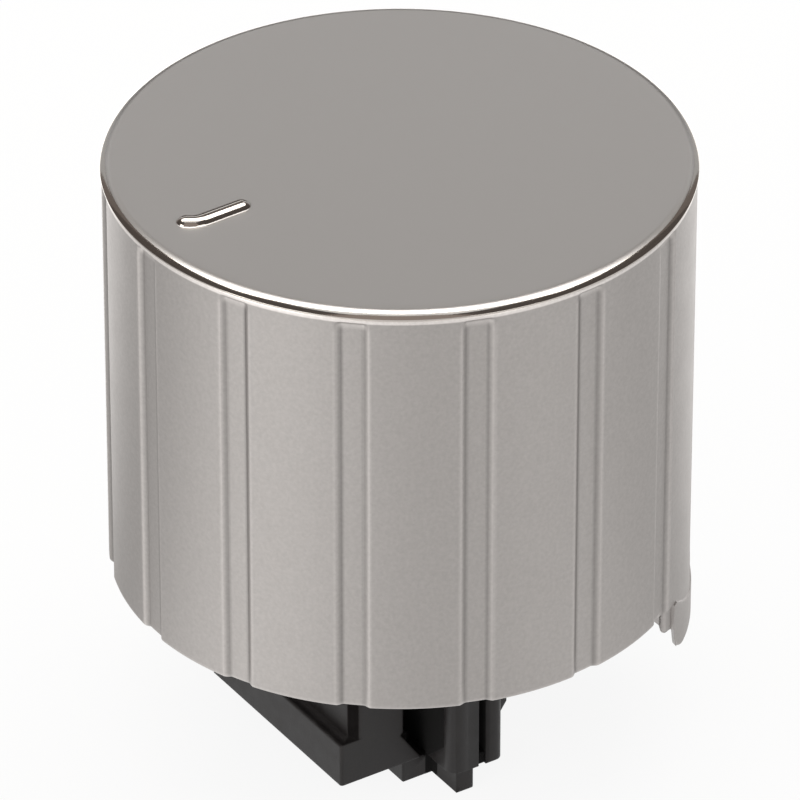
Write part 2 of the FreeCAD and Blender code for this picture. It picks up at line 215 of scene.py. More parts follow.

# Lines of painted highlight and painted shade in the skirt's coat: change of its level, and millimetres for
# their places and half widths
FLUTE_PAINTED_HIGHLIGHT = 0.16
FLUTE_PAINTED_HIGHLIGHT_PLACE = FLUTE_MOUTH + 0.02
FLUTE_PAINTED_HIGHLIGHT_HALF = 0.22
FLUTE_PAINTED_SHADE = 0.3
FLUTE_PAINTED_SHADE_PLACE = FLUTE_FLOOR + 0.03
FLUTE_PAINTED_SHADE_HALF = 0.24
FLUTE_LINES_TOP = (SEAT_Z - 1.1, SEAT_Z - 0.7)
FLUTE_LINES_FOOT = (RIM_Z - 0.2, RIM_Z + 0.1)
OUTSIDE = (19.0, 19.4)
# Painted highlights along the rim's lower edge, under the flutes' tops and on the skirt's shoulder
RIM_PAINTED_HIGHLIGHT = 0.25
RIM_PAINTED_HIGHLIGHT_Z = RIM_Z + 0.1
ARCH_PAINTED_HIGHLIGHT = 0.3
ARCH_PAINTED_HIGHLIGHT_Z = 43.37
ACROSS_HALF = 0.3
SHOULDER_PAINTED_HIGHLIGHT = 0.85
SHOULDER_PAINTED_HIGHLIGHT_LINE = (SEAT_Z - 0.4, SEAT_Z - 0.3)
ROOT_FADE = 0.03

# Heights in millimetres between which the cap's finish changes to polished, down its edge and up its pointer
POLISHED_DROP = (TOP_Z - 0.12, TOP_Z - 0.095)
POLISHED_RISE = (TOP_Z + 0.02, TOP_Z + 0.05)

# Camera: degrees from the part's axes, and millimetres; its clip distances are metres
CAMERA_AZIMUTH = 57.0
CAMERA_ELEVATION = 32.45
CAMERA_DISTANCE = 601.2
CAMERA_MIDDLE_Z = 28.2
CAMERA_LENS = 398.2
CAMERA_SENSOR = 36
AIM_Z = 25.09
AIM_RIGHT = 0.03
CLIP_START = 0.01
CLIP_END = 50

# Studio. A turn is in degrees from the camera's side, positive to the right in the picture; all distances
# are in millimetres
WORLD_LIGHT = 0.55
FLOOR_WHITE = 0.9
FLOOR_REACH = 6000
FLOOR_GREY = 0.8

# Dark cards and the ceiling: turns, elevations, level and distance. A dark card has a warm colour
CARDS = (("ceiling_dark", (-180, 180), (83, 90), 0.9, 1400),
         ("near_dark", (-32, 32), (2, 77), 0.36, 1400),
         ("left_dark", (-130, -32), (2, 70), 0.10, 1400),
         ("right_dark", (32, 130), (2, 70), 0.10, 1400),
         ("back_left_dark", (-150, -100), (-6, 47), 0.2, 1400),
         ("back_right_dark", (100, 150), (-6, 47), 0.2, 1400),
         ("far_low_dark", (150, 210), (-6, 24), 0.1, 1400),
         ("left_limb", (-162, -143), (-6, 26), 0.5, 1390),
         ("right_limb", (143, 162), (-6, 26), 0.5, 1390),
         ("far_high_dark", (150, 210), (35, 56), 0.15, 1400))
DARK_CARD_LEVEL = 0.5
DARK_CARD_COLOUR = (1.0, 0.86, 0.79)
WHITE = (1.0, 1.0, 1.0)

# The floor's sheen: its level and ring, and its brighter and darker parts by middle turn, half width and
# change of level
SHEEN_LEVEL = 0.8
SHEEN_COLOUR = (1.0, 0.985, 0.97)
SHEEN_RING = (21.0, 900.0)
SHEEN_Z = 0.3
SHEEN = ((-48, 60, 0.32), (-100, 46, -0.24), (-150, 44, 1.3), (14, 40, -0.06), (56, 40, 0.08),
         (104, 40, -0.1), (160, 60, 1.0))

# Lamps: turn, elevation, distance, size and radiance
LAMPS = (("overhead", 180, 75, 900, (1200, 440), 3.6),
         ("left", -48, 18, 800, (500, 600), 3.0),
         ("right", 38, 12, 900, (400, 600), 2.0))
LAMP_COLOUR = (1.0, 0.97, 0.93)
LAMP_AIM_Z = 28


# Mesh helpers

def mesh_object(name, points, faces):
    """Object from points in millimetres."""
    mesh = bpy.data.meshes.new(name)
    mesh.from_pydata([(x * MM, y * MM, z * MM) for x, y, z in points], [], faces)
    made = bpy.data.objects.new(name, mesh)
    bpy.context.scene.collection.objects.link(made)
    return made


def grid(columns):
    """Points and quads of a ring of columns, each a list of the same number of points."""
    rows = len(columns[0])
    count = len(columns)
    points = [point for column in columns for point in column]
    faces = []
    for i in range(count):
        j = (i + 1) % count
        for k in range(rows - 1):
            faces.append((i * rows + k, i * rows + k + 1, j * rows + k + 1, j * rows + k))
    return points, faces


def circle(radius, sides, z=0.0, middle=(0.0, 0.0)):
    """Points of a level circle."""
    points = []
    for i in range(sides):
        turn = 2 * math.pi * i / sides
        points.append((middle[0] + radius * math.cos(turn), middle[1] + radius * math.sin(turn), z))
    return points


def band(sides):
    """Quads between two circles whose points follow each other."""
    return [(i, (i + 1) % sides, sides + (i + 1) % sides, sides + i) for i in range(sides)]


def quarter(steps, first=0):
    """Angles of a quarter turn in equal steps."""
    return [math.pi / 2 * i / steps for i in range(first, steps + 1)]


def smooth_step(value):
    """0 to 1 with a soft start and end."""
    value = min(max(value, 0.0), 1.0)
    return value * value * (3 - 2 * value)


def shade_smooth(piece, sharp_degrees):
    """Smooth faces, with the edges over an angle marked sharp."""
    for polygon in piece.data.polygons:
        polygon.use_smooth = True
    piece.data.set_sharp_from_angle(angle=math.radians(sharp_degrees))


def clean(piece, sharp_degrees=SHARP_ANGLE):
    """Welds the doubled points, turns the faces outwards and marks the sharp edges."""
    made = bmesh.new()
    made.from_mesh(piece.data)
    bmesh.ops.remove_doubles(made, verts=made.verts, dist=WELD * MM)
    bmesh.ops.dissolve_degenerate(made, edges=made.edges, dist=SLIVER * MM)
    bmesh.ops.recalc_face_normals(made, faces=made.faces)
    made.to_mesh(piece.data)
    made.free()
    shade_smooth(piece, sharp_degrees)


def join(target, others):
    """Adds other meshes to the target's mesh."""
    made = bmesh.new()
    made.from_mesh(target.data)
    for other in others:
        made.from_mesh(other.data)
        bpy.data.objects.remove(other)
    made.to_mesh(target.data)
    made.free()
    return target


def block(name, low, high, degrees=0.0):
    """Block between two corners, turned about the axis."""
    turn = math.radians(degrees)
    points = []
    for x in (low[0], high[0]):
        for y in (low[1], high[1]):
            for z in (low[2], high[2]):
                points.append((x * math.cos(turn) - y * math.sin(turn),
                               x * math.sin(turn) + y * math.cos(turn), z))
    faces = [(0, 1, 3, 2), (4, 6, 7, 5), (0, 4, 5, 1), (2, 3, 7, 6), (0, 2, 6, 4), (1, 5, 7, 3)]
    return mesh_object(name, points, faces)


def lathe(name, section, sides):
    """Section of radius and height turned about the axis."""
    columns = []
    for i in range(sides):
        angle = 2 * math.pi * i / sides
        columns.append([(radius * math.cos(angle), radius * math.sin(angle), z) for radius, z in section])
    return mesh_object(name, *grid(columns))


def apply_modifiers(piece):
    """Takes the piece's modifiers into its mesh."""
    graph = bpy.context.evaluated_depsgraph_get()
    mesh = bpy.data.meshes.new_from_object(piece.evaluated_get(graph))
    piece.modifiers.clear()
    piece.data = mesh


# Skirt

def flute_depth(offset):
    """Depth of a flute at a distance from its middle, with softened corners."""
    total = 0.0
    for i in range(FLUTE_SAMPLES):
        place = abs(offset + FLUTE_SOFT * (2 * i / (FLUTE_SAMPLES - 1) - 1))
        total += min(max((FLUTE_MOUTH - place) / (FLUTE_MOUTH - FLUTE_FLOOR), 0.0), 1.0)
    return FLUTE_DEPTH * total / FLUTE_SAMPLES


def lug_reach(face, outer):
    """Half of the arc that a flat face cuts off the outer radius."""
    return SKIRT_RADIUS * math.acos(face / outer)


def skirt_places():
    """Places round the skirt in millimetres of arc from the +X side, closer on the flutes and the lug."""
    around = 2 * math.pi * SKIRT_RADIUS
    pitch = around / FLUTE_COUNT
    edge = FLUTE_OFFSETS[-1]
    places = []
    for k in range(FLUTE_COUNT):
        middle = -around / 4 + k * pitch
        places += [middle + side * offset for offset in FLUTE_OFFSETS for side in (-1, 1)]
        places += [middle + edge + step * (pitch - 2 * edge) / PANEL_STEPS for step in range(1, PANEL_STEPS)]
    lug = math.radians(LUG_ANGLE) * SKIRT_RADIUS
    lobe, root = lug_reach(LUG_FACE, SKIRT_RADIUS + LUG_RISE), lug_reach(ROOT_FACE, ROOT_OUTER)
    offsets = [lobe * math.sin(turn) for turn in quarter(LOBE_STEPS)]
    start = lobe + LUG_STEP
    offsets += [start + (root - lobe - LUG_STEP) * math.sin(turn) for turn in quarter(ROOT_STEPS)]
    offsets.append(root + LUG_STEP)
    places += [lug + side * offset for offset in offsets for side in (-1, 1)]
    places = sorted(place % around for place in places)
    kept = [places[0]]
    for place in places[1:]:
        if place - kept[-1] > LEAST_STEP:
            kept.append(place)
    return kept


def lobe_low(across):
    """Height of the lobe's lower edge at a distance from its middle line, rounded at both tips."""
    reach = math.sqrt((SKIRT_RADIUS + LUG_RISE) ** 2 - LUG_FACE ** 2)
    past = min(max(abs(across) - (reach - LUG_TIP_ROUND), 0.0), LUG_TIP_ROUND)
    tip = LUG_TIP_ROUND - math.sqrt(LUG_TIP_ROUND ** 2 - past ** 2)
    return RIM_Z - LOBE_DROP + LOBE_CURVE - math.sqrt(LOBE_CURVE ** 2 - across ** 2) + tip


def root_low(angle, radius):
    """Height of the root's lower edge, rounded at both ends."""
    reach = math.sqrt(ROOT_OUTER ** 2 - ROOT_FACE ** 2)
    past = max(abs(radius * math.sin(angle)) - (reach - ROOT_CORNER), 0.0)
    return RIM_Z - ROOT_DROP + ROOT_CORNER - math.sqrt(max(ROOT_CORNER ** 2 - past ** 2, 0.0))


def lug_part(place):
    """Kind of section at a place round the skirt, and the angle from the lug's middle."""
    angle = place / SKIRT_RADIUS - math.radians(LUG_ANGLE)
    angle = (angle + math.pi) % (2 * math.pi) - math.pi
    arc = abs(angle) * SKIRT_RADIUS
    if arc <= lug_reach(LUG_FACE, SKIRT_RADIUS + LUG_RISE) + ARC_SLACK:
        return "lobe", angle
    if arc <= lug_reach(ROOT_FACE, ROOT_OUTER) + ARC_SLACK:
        return "root", angle
    return "plain", angle


def skirt_column(place):
    """Radius and height of each point of the skirt's closed section at a place round it."""
    pitch = 2 * math.pi * SKIRT_RADIUS / FLUTE_COUNT
    from_flute = (place + 2 * math.pi * SKIRT_RADIUS / 4 + pitch / 2) % pitch - pitch / 2
    depth = flute_depth(from_flute)
    kind, angle = lug_part(place)
    flute_top = SEAT_Z - FLUTE_TOP_GAP

    def wall(z):
        """Outer radius of the fluted wall."""
        share = smooth_step((flute_top - z) / FLUTE_TOP_RUN + FLUTE_TOP_LEAD)
        if kind == "lobe":
            share *= smooth_step((z - RIM_Z + FLUTE_END_DROP) / FLUTE_END_RUN)
        return SKIRT_RADIUS - depth * share

    column = [(0.0, WEB_TOP_Z), (WEB_MIDDLE, WEB_TOP_Z), (CAP_SEAT, WEB_TOP_Z), (CAP_SEAT, SEAT_Z)]
    for turn in quarter(SHOULDER_STEPS):
        column.append((SKIRT_RADIUS - SHOULDER_ROUND + SHOULDER_ROUND * math.sin(turn),
                       SEAT_Z - SHOULDER_ROUND + SHOULDER_ROUND * math.cos(turn)))
    start = flute_top + FLUTE_TOP_LEAD * FLUTE_TOP_RUN
    heights = [start - FLUTE_TOP_RUN * i / FLUTE_TOP_STEPS for i in range(FLUTE_TOP_STEPS + 1)]
    column += [(wall(z), z) for z in heights + WALL_HEIGHTS]
    for i, turn in enumerate(quarter(RIM_STEPS)):
        if kind == "plain":
            z = RIM_Z + RIM_ROUND * (1 - math.sin(turn))
            column.append((wall(z) - RIM_ROUND * (1 - math.cos(turn)), z))
        else:
            z = RIM_Z + RIM_ROUND * (1 - i / RIM_STEPS)
            column.append((wall(z), z))
    column += lug_outside(kind, angle, depth, wall)
    return column + skirt_inside(kind, angle, min(ROOT_OUTER, wall(RIM_Z)))


def rounded_foot(outer, low, edge):
    """Lower outer edge, rounded by a quarter turn."""
    return [(outer - edge * (1 - math.cos(turn)), low + edge * (1 - math.sin(turn)))
            for turn in quarter(FOOT_STEPS, 1)]


def lug_outside(kind, angle, depth, wall):
    """Outer face and lower edge of the lug's lobe or root, or as many points at the plain rim."""
    if kind == "plain":
        return [(SKIRT_RADIUS - RIM_ROUND - depth, RIM_Z)] * LUG_POINTS
    if kind == "root":
        outer = min(ROOT_OUTER, wall(RIM_Z))
        low = root_low(angle, ROOT_OUTER)
        inner = min(ROOT_FACE / math.cos(angle), outer)
        edge = min(LUG_ROUND, (RIM_Z - low) / 2, (outer - inner) / 2)
        points = [(outer, RIM_Z)] * (OVER_LEDGE_STEPS + LEDGE_STEPS)
        for i in range(1, SIDE_STEPS + 1):
            points.append((outer, RIM_Z + (low + edge - RIM_Z) * i / SIDE_STEPS))
        return points + rounded_foot(outer, low, edge)
    outer = SKIRT_RADIUS + LUG_RISE
    across = outer * math.sin(angle)
    low = lobe_low(across)
    ledge = RIM_Z - LUG_DROP + LUG_RADIUS - math.sqrt(max(LUG_LEDGE_RADIUS ** 2 - across ** 2, 0.0))
    ledge = min(ledge, RIM_Z - LEDGE_LEAST_DROP)
    points = []
    for i in range(1, OVER_LEDGE_STEPS + 1):
        z = RIM_Z + (ledge + LEDGE_HALF - RIM_Z) * i / OVER_LEDGE_STEPS
        points.append((wall(z), z))
    for i in range(1, LEDGE_STEPS + 1):
        z = ledge + LEDGE_HALF - 2 * LEDGE_HALF * i / LEDGE_STEPS
        points.append((wall(z) + LUG_RISE * smooth_step(i / LEDGE_STEPS), z))
    start = ledge - LEDGE_HALF
    inner = min(LUG_FACE / math.cos(angle), outer)
    edge = min(LOBE_ROUND, (outer - inner) / 2)
    for i in range(1, SIDE_STEPS + 1):
        z = start + (low + edge - start) * i / SIDE_STEPS
        points.append((outer + wall(z) - SKIRT_RADIUS, z))
    return points + rounded_foot(outer, low, edge)


def skirt_inside(kind, angle, outer):
    """Section from the lower edge up the inside, over the web and down and up the socket.

    Each kind has nine points before the hollow's wall, so that all columns are equally long.
    """
    if kind == "plain":
        points = [(LUG_FACE, RIM_Z)] * 6
    else:
        root = min(ROOT_FACE / math.cos(angle), outer)
        shelf = root_low(angle, root)
        if kind == "lobe":
            face = min(LUG_FACE / math.cos(angle), SKIRT_RADIUS + LUG_RISE - LOBE_LEAST_EDGE)
            low = lobe_low(face * math.sin(angle))
            soft = min(LOBE_INNER_ROUND, (SKIRT_RADIUS + LUG_RISE - face) / 2)
            points = [(face + soft, low), (face, low + soft), (face, shelf)]
        else:
            points = [(outer - min(LUG_ROUND, (outer - root) / 2), shelf)] * 3
        soft = min(ROOT_INNER_ROUND, (outer - root) / 2, RIM_Z - shelf)
        points += [(root + soft, shelf), (root, shelf + soft), (root, RIM_Z)]
        if root < SKIRT_BORE:
            step = SKIRT_BORE - root
            points += [(root, ROOT_TOP), (SKIRT_BORE, ROOT_TOP + step), (SKIRT_BORE, ROOT_TOP + step)]
    soft = HOLLOW_ROUND
    if len(points) == 6:
        points += [(SKIRT_BORE + soft, RIM_Z),
                   (SKIRT_BORE + HOLLOW_ROUND_MIDDLE, RIM_Z + HOLLOW_ROUND_MIDDLE),
                   (SKIRT_BORE, RIM_Z + soft)]
    return points + [
        *((SKIRT_BORE, z) for z in HOLLOW_HEIGHTS), (SKIRT_BORE, WEB_Z - WEB_CORNER),
        (SKIRT_BORE - soft, WEB_Z - soft), (SKIRT_BORE - WEB_CORNER, WEB_Z),
        (SOCKET_OUTER + SOCKET_CORNER, WEB_Z), (SOCKET_OUTER + soft, WEB_Z - soft),
        (SOCKET_OUTER, WEB_Z - SOCKET_CORNER), (SOCKET_OUTER, SOCKET_Z + soft),
        (SOCKET_OUTER - soft, SOCKET_Z), (SOCKET_INNER + SOCKET_LEAD, SOCKET_Z),
        (SOCKET_INNER, SOCKET_Z + SOCKET_LEAD), (SOCKET_INNER, WEB_Z), (0.0, WEB_Z)]


def peg_middle(number):
    """Middle of a peg and its hole."""
    turn = math.radians(PEG_TURN + 360 / PEG_COUNT * number)
    return PEG_CIRCLE * math.cos(turn), PEG_CIRCLE * math.sin(turn)


def cutters():
    """Snap windows in the socket and peg holes in the web, as one mesh."""
    made = []
    for k in range(WINDOW_COUNT):
        made.append(block("cut", WINDOW_LOW, WINDOW_HIGH, WINDOW_TURN + 360 / WINDOW_COUNT * k))
    for k in range(PEG_COUNT):
        points = []
        for z in PEG_HOLE_ENDS:
            points += circle(PEG_HOLE, PEG_SIDES, z, peg_middle(k))
        ends = [tuple(range(PEG_SIDES - 1, -1, -1)), tuple(range(PEG_SIDES, 2 * PEG_SIDES))]
        made.append(mesh_object("cut", points, ends + band(PEG_SIDES)))
    return join(made[0], made[1:])


def make_skirt():
    """Fluted shell with its lug, ribs and socket, cut by the windows and peg holes."""
    columns = []
    for place in skirt_places():
        angle = place / SKIRT_RADIUS
        columns.append([(radius * math.cos(angle), radius * math.sin(angle), z)
                        for radius, z in skirt_column(place)])
    skirt = mesh_object("knob_skirt", *grid(columns))
    clean(skirt)
    join(skirt, [block("rib", RIB_LOW, RIB_HIGH, 360 / RIB_COUNT * k) for k in range(RIB_COUNT)])
    tool = cutters()
    cut = skirt.modifiers.new("cut", "BOOLEAN")
    cut.object = tool
    cut.operation = "DIFFERENCE"
    cut.solver = "EXACT"
    apply_modifiers(skirt)
    bpy.data.objects.remove(tool)
    clean(skirt)
    return skirt


# Core

def outer_edges(made, lowest_top, highest_top):
    """Long convex edges away from the tube whose upper ends lie between two heights."""
    found = []
    for edge in made.edges:
        if len(edge.link_faces) != 2 or not edge.is_convex:
            continue
        if edge.calc_face_angle() < math.radians(EDGE_ANGLE) or edge.calc_length() <= EDGE_LENGTH * MM:
            continue
        start, end = (vertex.co / MM for vertex in edge.verts)
        outer = max(math.hypot(start.x, start.y), math.hypot(end.x, end.y)) > TUBE_REACH
        placed = lowest_top < max(start.z, end.z) <= highest_top and min(start.z, end.z) < EDGE_LOWEST_END
        beside = [near for vertex in edge.verts for near in vertex.link_edges]
        ends_short = any(near.calc_length() < EDGE_NEIGHBOUR * MM for near in beside)
        if outer and placed and not ends_short:
            found.append(edge)
    return found


def make_core(source):
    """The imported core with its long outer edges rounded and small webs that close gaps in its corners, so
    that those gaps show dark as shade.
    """
    core = bpy.data.objects.new("knob_core", source.data.copy())
    bpy.context.scene.collection.objects.link(core)
    made = bmesh.new()
    made.from_mesh(core.data)
    bmesh.ops.remove_doubles(made, verts=made.verts, dist=WELD * MM)
    bmesh.ops.dissolve_limit(made, angle_limit=math.radians(FLAT_ANGLE), verts=made.verts,
                             edges=made.edges)
    for tops, size in CORE_BEVELS:
        bmesh.ops.bevel(made, geom=outer_edges(made, *tops), offset=size * MM, offset_type="OFFSET",
                        segments=3, profile=0.5, affect="EDGES", clamp_overlap=True)
    made.to_mesh(core.data)
    made.free()
    # Small dark blocks close the corner gaps so that they show dark as shade
    shade_webs = []
    for near, far in CORE_SHADE_WEBS:
        for side in (1, -1):
            across = sorted((side * near[0], side * far[0]))
            shade_webs.append(block("web", (across[0], *near[1:]), (across[1], *far[1:])))
    join(core, shade_webs)
    shade_smooth(core, CORE_SHARP_ANGLE)
    even = core.modifiers.new("even", "WEIGHTED_NORMAL")
    even.keep_sharp = True
    even.weight = 100
    apply_modifiers(core)
    return core


# Face cap

def pointer_rings():
    """Half width and height of the raised bar's rings, from the flat face up to its crest."""
    dome = (POINTER_HALF ** 2 + POINTER_HEIGHT ** 2) / (2 * POINTER_HEIGHT)
    rings = [(POINTER_HALF + out, up) for out, up in POINTER_FILLET]
    widest = math.asin(POINTER_HALF / dome)
    for i in range(DOME_STEPS):
        left = 1 - i / DOME_STEPS
        turn = widest * left
        height = dome * math.cos(turn) - dome + POINTER_HEIGHT
        rings.append((dome * math.sin(turn) + POINTER_FOOT_OUT * left, height + POINTER_FOOT_UP * left ** 3))
    return rings


def pointer_middle():
    """Points and directions along the pointer's middle line: straight, then bent sideways."""
    first, corner, last = POINTER_BEND
    middle = []
    for i in range(STRAIGHT_STEPS):
        share = i / STRAIGHT_STEPS
        middle.append((POINTER_START[0] + (first[0] - POINTER_START[0]) * share,
                       POINTER_START[1] + (first[1] - POINTER_START[1]) * share, 0.0, -1.0))
    for i in range(BEND_STEPS + 1):
        t = i / BEND_STEPS
        place, along = [], []
        for a, b, c in zip(first, corner, last):
            place.append((1 - t) ** 2 * a + 2 * t * (1 - t) * b + t * t * c)
            along.append((1 - t) * (b - a) + t * (c - b))
        middle.append((*place, *Vector(along).normalized()))
    return middle


def make_pointer():
    """Raised bar as rings of a long rounded outline, closed along its crest."""
    middle = pointer_middle()
    outline = []
    for side, line in ((1, middle), (-1, middle[::-1])):
        for x, y, dx, dy in line:
            outline.append((x, y, -dy * side, dx * side))
        x, y, dx, dy = line[-1]
        for i in range(1, POINTER_END_STEPS):
            turn = math.pi * i / POINTER_END_STEPS
            across, ahead = math.cos(turn) * side, math.sin(turn) * side
            outline.append((x, y, -dy * across + dx * ahead, dx * across + dy * ahead))
    columns = []
    for x, y, across_x, across_y in outline:
        column = []
        for width, height in pointer_rings():
            column.append((x + width * across_x, y + width * across_y, TOP_Z + height))
        columns.append(column + [(x, y, TOP_Z + POINTER_HEIGHT)])
    return mesh_object("bar", *grid(columns))


def make_cap():
    """Disc with a crowned edge, its plug and pegs, and the raised pointer."""
    turn = math.radians(CROWN_TURN)
    arm = CROWN_RADIUS - CAP_EDGE_ROUND
    small = (CAP_RADIUS - CAP_EDGE_ROUND, TOP_Z - CROWN_RADIUS + arm * math.cos(turn))
    large = (small[0] - arm * math.sin(turn), TOP_Z - CROWN_RADIUS)
    arcs = [(large, CROWN_RADIUS, turn * i / CROWN_STEPS) for i in range(CROWN_STEPS + 1)]
    arcs += [(small, CAP_EDGE_ROUND, turn + (math.pi / 2 - turn) * i / CAP_EDGE_STEPS)
             for i in range(1, CAP_EDGE_STEPS + 1)]
    section = [(radius, TOP_Z) for radius in CAP_FACE_RADII]
    for middle, radius, angle in arcs:
        section.append((middle[0] + radius * math.sin(angle), middle[1] + radius * math.cos(angle)))
    section += [(CAP_RADIUS, SEAT_Z + CAP_FOOT_ROUND), (CAP_RADIUS - CAP_FOOT_ROUND, SEAT_Z),
                (CAP_SEAT - CAP_CLEARANCE, SEAT_Z), (CAP_SEAT - CAP_CLEARANCE, WEB_TOP_Z), (0.0, WEB_TOP_Z)]
    cap = lathe("knob_face_cap", section, CAP_SIDES)
    bar = make_pointer()
    clean(bar, POINTER_SHARP_ANGLE)
    clean(cap)
    pegs = []
    for k in range(PEG_COUNT):
        peg = lathe("peg", [(0.0, PEG_TOP), (PEG_RADIUS, PEG_TOP), (PEG_RADIUS, PEG_FOOT + PEG_CHAMFER),
                            (PEG_RADIUS - PEG_CHAMFER, PEG_FOOT), (0.0, PEG_FOOT)], PEG_SIDES)
        for vertex in peg.data.vertices:
            vertex.co += Vector((*peg_middle(k), 0)) * MM
        clean(peg)
        pegs.append(peg)
    join(cap, [bar] + pegs)
    cap.data.set_sharp_from_angle(angle=math.radians(CAP_SHARP_ANGLE))
    return cap


# Nodes; a value given to them is a number or another node's output

def feed(tree, socket, value):
    """Sets an input to a number or links it to an output."""
    if isinstance(value, (int, float)):
        socket.default_value = value
    else:
        tree.links.new(value, socket)


def math_node(tree, operation, *values):
    """Result of a math node."""
    made = tree.nodes.new("ShaderNodeMath")
    made.operation = operation
    for number, value in enumerate(values):
        feed(tree, made.inputs[number], value)
    return made.outputs["Value"]


def chained(tree, operation, first, *others):
    """Result of the same operation on all the values, one after another."""
    for other in others:
        first = math_node(tree, operation, first, other)
    return first


def spread(tree, value, low, high, start=0.3, end=0.7, smooth=False):
    """Maps a value from start..end to low..high."""
    made = tree.nodes.new("ShaderNodeMapRange")
    if smooth:
        made.interpolation_type = "SMOOTHSTEP"
    made.inputs["From Min"].default_value = start
    made.inputs["From Max"].default_value = end
    made.inputs["To Min"].default_value = low
    made.inputs["To Max"].default_value = high
    tree.links.new(value, made.inputs["Value"])
    return made.outputs["Result"]


def step_at(tree, value, low, high, heights):
    """Maps a value between two places in millimetres to low..high."""
    return spread(tree, value, low, high, heights[0] * MM, heights[1] * MM)


def within(tree, value, low, high, soft=PAINTED_SHADE_SOFT):
    """1 between two values in millimetres, falling to 0 outside them."""
    up = step_at(tree, value, 0, 1, (low - soft, low))
    down = step_at(tree, value, 1, 0, (high, high + soft))
    return math_node(tree, "MULTIPLY", up, down)


def line_at(tree, value, place, half_width):
    """1 at a place, falling to 0 at the half width on both sides."""
    off = math_node(tree, "ABSOLUTE", math_node(tree, "SUBTRACT", value, place))
    return spread(tree, off, 1, 0, 0, half_width)


def turn_from(tree, turn, middle):
    """Least angle between a turn and a middle, always positive."""
    off = math_node(tree, "SUBTRACT", turn, middle)
    return math_node(tree, "ABSOLUTE", math_node(tree, "WRAP", off, math.pi, -math.pi))


def object_axes(tree):
    """The place's x, y and z in the object's own space."""
    place = tree.nodes.new("ShaderNodeTexCoord")
    split = tree.nodes.new("ShaderNodeSeparateXYZ")
    tree.links.new(place.outputs["Object"], split.inputs["Vector"])
    return [split.outputs[axis] for axis in "XYZ"]


def noise(tree, scale, detail=2.0, roughness=0.5):
    """Noise in the object's own space; scale counts features per metre."""
    place = tree.nodes.new("ShaderNodeTexCoord")
    made = tree.nodes.new("ShaderNodeTexNoise")
    made.inputs["Scale"].default_value = scale
    made.inputs["Detail"].default_value = detail
    made.inputs["Roughness"].default_value = roughness
    tree.links.new(place.outputs["Object"], made.inputs["Vector"])
    return made.outputs["Fac"]


def blended(tree, share, low, high):
    """Colour between two colours."""
    made = tree.nodes.new("ShaderNodeMix")
    made.data_type = "RGBA"
    made.inputs[6].default_value = (*low, 1)
    made.inputs[7].default_value = (*high, 1)
    tree.links.new(share, made.inputs["Factor"])
    return made.outputs[2]


def scaled(tree, colour, share):
    """Colour made darker or lighter by a share."""
    made = tree.nodes.new("ShaderNodeVectorMath")
    made.operation = "SCALE"
    tree.links.new(colour, made.inputs[0])
    tree.links.new(share, made.inputs["Scale"])
    return made.outputs["Vector"]


def bump(tree, shader, height, distance, edge_round=0.0):
    """Fine relief, over edges that look rounded to a radius in metres."""
    made = tree.nodes.new("ShaderNodeBump")
    made.inputs["Distance"].default_value = distance
    if edge_round:
        edges = tree.nodes.new("ShaderNodeBevel")
        edges.samples = 6
        edges.inputs["Radius"].default_value = edge_round
        tree.links.new(edges.outputs["Normal"], made.inputs["Normal"])
    tree.links.new(height, made.inputs["Height"])
    tree.links.new(made.outputs["Normal"], shader.inputs["Normal"])


def emission(tree, colour, strength):
    """Glow of a colour."""
    glow = tree.nodes.new("ShaderNodeEmission")
    glow.inputs["Color"].default_value = (*colour, 1)
    feed(tree, glow.inputs["Strength"], strength)
    return glow.outputs["Emission"]


# Materials

def new_material(name):
    """Material, its node tree and its shader."""
    material = bpy.data.materials.new(name)
    material.use_nodes = True
    return material, material.node_tree, material.node_tree.nodes["Principled BSDF"]


def wear(piece, material):
    """Gives the piece one material."""
    piece.data.materials.clear()
    piece.data.materials.append(material)


def painted_shade_share(tree):
    """Painted shade: 1 in the core's recesses, where light hardly comes: beside the block, in the slits,
    between feet.
    """
    x, y, z = object_axes(tree)
    x = math_node(tree, "ABSOLUTE", x)
    total = 0.0
    for across, along, heights, slope in PAINTED_SHADE_RECESSES:
        height = math_node(tree, "SUBTRACT", z, math_node(tree, "MULTIPLY", x, slope))
        share = chained(tree, "MULTIPLY", within(tree, x, *across), within(tree, y, *along),
                        within(tree, height, *heights, PAINTED_SHADE_SOFT_Z))
        total = math_node(tree, "MAXIMUM", total, share)
    return total


